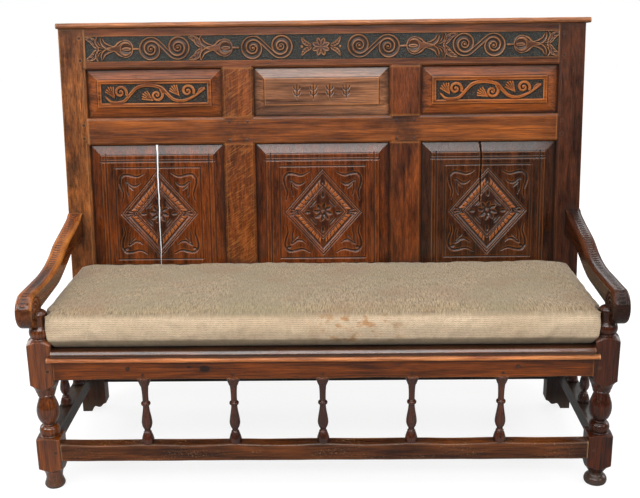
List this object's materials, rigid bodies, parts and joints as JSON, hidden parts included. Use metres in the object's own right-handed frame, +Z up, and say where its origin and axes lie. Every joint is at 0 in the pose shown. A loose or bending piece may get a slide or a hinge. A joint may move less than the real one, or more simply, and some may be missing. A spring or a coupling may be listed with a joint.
{
  "type": "settle bench",
  "caption": "Panelled oak settle with a raked carved back, scrolled arms on turned posts, an arcade of spindles under the seat and a loose cushion.",
  "frame": {"origin": "on the floor, under the middle of the bench's overall box", "axes": "+X along the seat to the right as seen from the front, +Y from the front to the back, +Z up"},
  "size_m": [1.678, 0.7097, 1.2862],
  "materials": {
    "oak_frame": "old waxed oak, reddish brown, worn paler on the edges",
    "oak_panel": "old waxed oak, darker, with incised and carved work",
    "oak_carved": "old waxed oak, carved in low relief on a dark punched ground",
    "cushion_fabric": "stone coloured woven cover with fine zigzag rows, matt"
  },
  "bodies": {
    "bench_frame": {"front_post_left": "oak_frame", "front_post_right": "oak_frame", "rear_post_left": "oak_frame", "rear_post_right": "oak_frame", "arm_left": "oak_frame", "arm_right": "oak_frame", "seat_rail_front": "oak_frame", "seat_rail_rear": "oak_frame", "seat_rail_left": "oak_frame", "seat_rail_right": "oak_frame", "stretcher_front": "oak_frame", "stretcher_rear": "oak_frame", "stretcher_left": "oak_frame", "stretcher_right": "oak_frame", "seat_bearer_left": "oak_frame", "seat_bearer_right": "oak_frame", "spindle_front_1": "oak_frame", "spindle_front_2": "oak_frame", "spindle_front_3": "oak_frame", "spindle_front_4": "oak_frame", "spindle_front_5": "oak_frame", "spindle_left_1": "oak_frame", "spindle_left_2": "oak_frame", "spindle_right_1": "oak_frame", "spindle_right_2": "oak_frame", "seat_board_front": "oak_frame", "seat_board_middle": "oak_frame", "seat_board_rear": "oak_frame", "seat_bead": "oak_frame", "crest_rail": "oak_carved", "middle_rail": "oak_frame", "muntin_upper_left": "oak_frame", "muntin_upper_right": "oak_frame", "muntin_lower_left": "oak_frame", "muntin_lower_right": "oak_frame", "panel_upper_left": "oak_panel", "panel_upper_centre": "oak_panel", "panel_upper_right": "oak_panel", "panel_lower_left": "oak_panel", "panel_lower_centre": "oak_panel", "panel_lower_right": "oak_panel", "top_capping": "oak_frame", "peg_rail_left": "oak_frame", "peg_rail_right": "oak_frame", "peg_stretcher_left": "oak_frame", "peg_stretcher_right": "oak_frame", "peg_crest_upper_left": "oak_frame", "peg_crest_upper_right": "oak_frame", "peg_crest_lower_left": "oak_frame", "peg_crest_lower_right": "oak_frame", "peg_middle_upper_left": "oak_frame", "peg_middle_upper_right": "oak_frame", "peg_middle_lower_left": "oak_frame", "peg_middle_lower_right": "oak_frame", "peg_seat_left": "oak_frame", "peg_seat_right": "oak_frame"},
    "cushion": {"cushion": "cushion_fabric"}
  },
  "joints": [
    {"name": "cushion_lift", "type": "slide", "parent": "bench_frame", "child": "cushion", "axis": [0, 0, 1], "range_m": [0, 0.45]}
  ]
}
